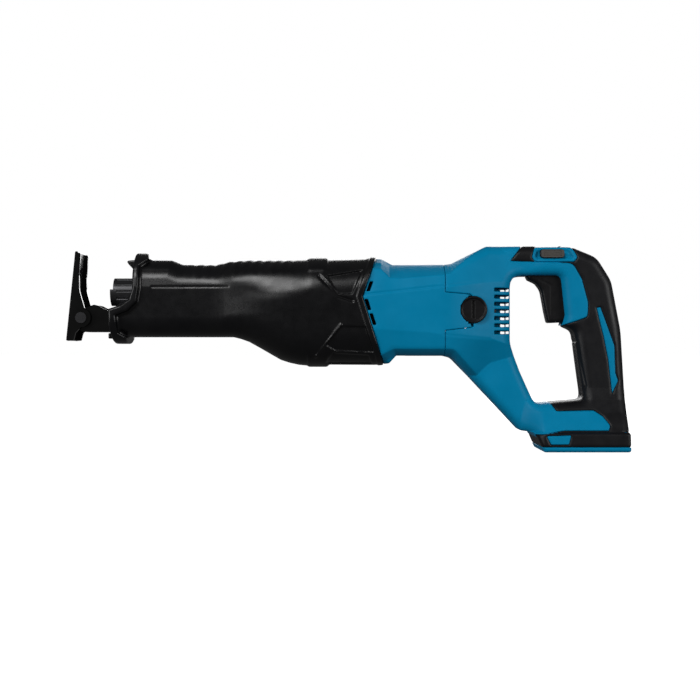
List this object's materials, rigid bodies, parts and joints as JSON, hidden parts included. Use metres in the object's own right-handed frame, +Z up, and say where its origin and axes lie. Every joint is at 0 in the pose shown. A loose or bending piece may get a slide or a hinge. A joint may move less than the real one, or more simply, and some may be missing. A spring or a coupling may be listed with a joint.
{
  "type": "reciprocating saw",
  "caption": "Cordless reciprocating saw with a D handle, trigger, rubber nose boot, blade clamp and tilting shoe, shown without battery or blade.",
  "frame": {"origin": "centre of the tool's bounding box in X and Y, at the height of the battery base's underside", "axes": "+X from the shoe to the grip along the blade's travel, +Y to the operator's right, +Z up"},
  "size_m": [0.4797, 0.081, 0.1759],
  "materials": {
    "boot_rubber": "satin black moulded rubber",
    "cast_aluminium": "as cast",
    "machined_steel": "ground steel",
    "bearing_steel": "polished steel",
    "bronze": "sintered bronze",
    "felt": "grey felt",
    "blue_plastic": "fine-textured blue nylon",
    "soft_grip": "soft matt black overmould",
    "black_plastic": "satin black nylon",
    "grey_plastic": "dark grey nylon",
    "brass": "bright brass",
    "carbon": "sintered carbon",
    "spring_steel": "spring wire",
    "ferrite": "dull ferrite",
    "zinc_steel": "zinc plated",
    "laminations": "stacked laminations, varnished",
    "copper": "enamelled copper wire",
    "blackened_steel": "gloss black coating",
    "dark_steel": "blackened steel"
  },
  "bodies": {
    "housing": {"front_boot": "boot_rubber", "gear_housing": "cast_aluminium", "bearing_plate": "cast_aluminium", "gear_bolts": "zinc_steel", "front_bush": "bronze", "rear_bush": "bronze", "felt_seal": "felt", "motor_housing": "blue_plastic", "brush_tongue_left": "blue_plastic", "brush_tongue_right": "blue_plastic", "handle_shell_left": "blue_plastic", "handle_shell_right": "blue_plastic", "soft_grip_left": "soft_grip", "soft_grip_right": "soft_grip", "handle_screws": "zinc_steel", "motor_yoke": "zinc_steel", "magnet_left": "ferrite", "magnet_right": "ferrite", "brush_cap_left": "black_plastic", "brush_cap_right": "black_plastic", "brush_holder_left": "brass", "brush_holder_right": "brass", "carbon_brush_left": "carbon", "carbon_brush_right": "carbon", "brush_spring_left": "spring_steel", "brush_spring_right": "spring_steel", "motor_bearing_front": "bearing_steel", "motor_bearing_rear": "bearing_steel", "crank_bearing_lower": "bearing_steel", "crank_bearing_upper": "bearing_steel", "switch_body": "black_plastic", "terminal_block": "black_plastic", "terminal_negative": "brass", "terminal_signal": "brass", "terminal_positive": "brass"},
    "armature": {"armature_shaft": "machined_steel", "armature_core": "laminations", "armature_winding": "copper", "commutator": "copper", "cooling_fan": "black_plastic"},
    "crank": {"crank_shaft": "machined_steel", "crank_gear": "machined_steel", "crank_pin": "machined_steel", "crank_roller": "bearing_steel"},
    "slider": {"slider_rod": "machined_steel", "scotch_yoke": "machined_steel", "blade_holder": "machined_steel", "lock_pin": "bearing_steel"},
    "clamp": {"clamp_sleeve": "dark_steel"},
    "bracket": {"shoe_bracket": "blackened_steel"},
    "shoe": {"shoe_plate": "blackened_steel", "shoe_pin": "dark_steel"},
    "trigger_lever": {"trigger": "black_plastic"},
    "lock_slide": {"lock_button": "grey_plastic"}
  },
  "joints": [
    {"name": "armature_spin", "type": "hinge", "parent": "housing", "child": "armature", "pos_m": [0.06, 0, 0.1205], "axis": [1, 0, 0], "continuous": true},
    {"name": "crank_spin", "type": "hinge", "parent": "housing", "child": "crank", "pos_m": [-0.03, 0, 0.1], "axis": [0, 0, 1], "continuous": true},
    {"name": "blade_stroke", "type": "slide", "parent": "housing", "child": "slider", "axis": [1, 0, 0], "range_m": [-0.008, 0.024]},
    {"name": "clamp_twist", "type": "hinge", "parent": "slider", "child": "clamp", "pos_m": [-0.19, 0, 0.1365], "axis": [1, 0, 0], "range_deg": [0, 60], "stiffness_Nm_per_rad": 0.05},
    {"name": "shoe_reach", "type": "slide", "parent": "housing", "child": "bracket", "axis": [-1, 0, 0], "range_m": [0, 0.03]},
    {"name": "shoe_tilt", "type": "hinge", "parent": "bracket", "child": "shoe", "pos_m": [-0.2273, 0, 0.1141], "axis": [0, 1, 0], "range_deg": [-12, 12]},
    {"name": "trigger_pull", "type": "hinge", "parent": "housing", "child": "trigger_lever", "pos_m": [0.175, 0, 0.152], "axis": [0, -1, 0], "range_deg": [0, 8], "stiffness_Nm_per_rad": 0.6, "springref_deg": -5.73},
    {"name": "lock_push", "type": "slide", "parent": "housing", "child": "lock_slide", "axis": [0, 1, 0], "range_m": [0, 0.006], "stiffness_N_per_m": 200, "springref_m": -0.001}
  ],
  "couplings": [
    {"joint": "armature_spin", "follows": "crank_spin", "ratio": 6.5}
  ]
}
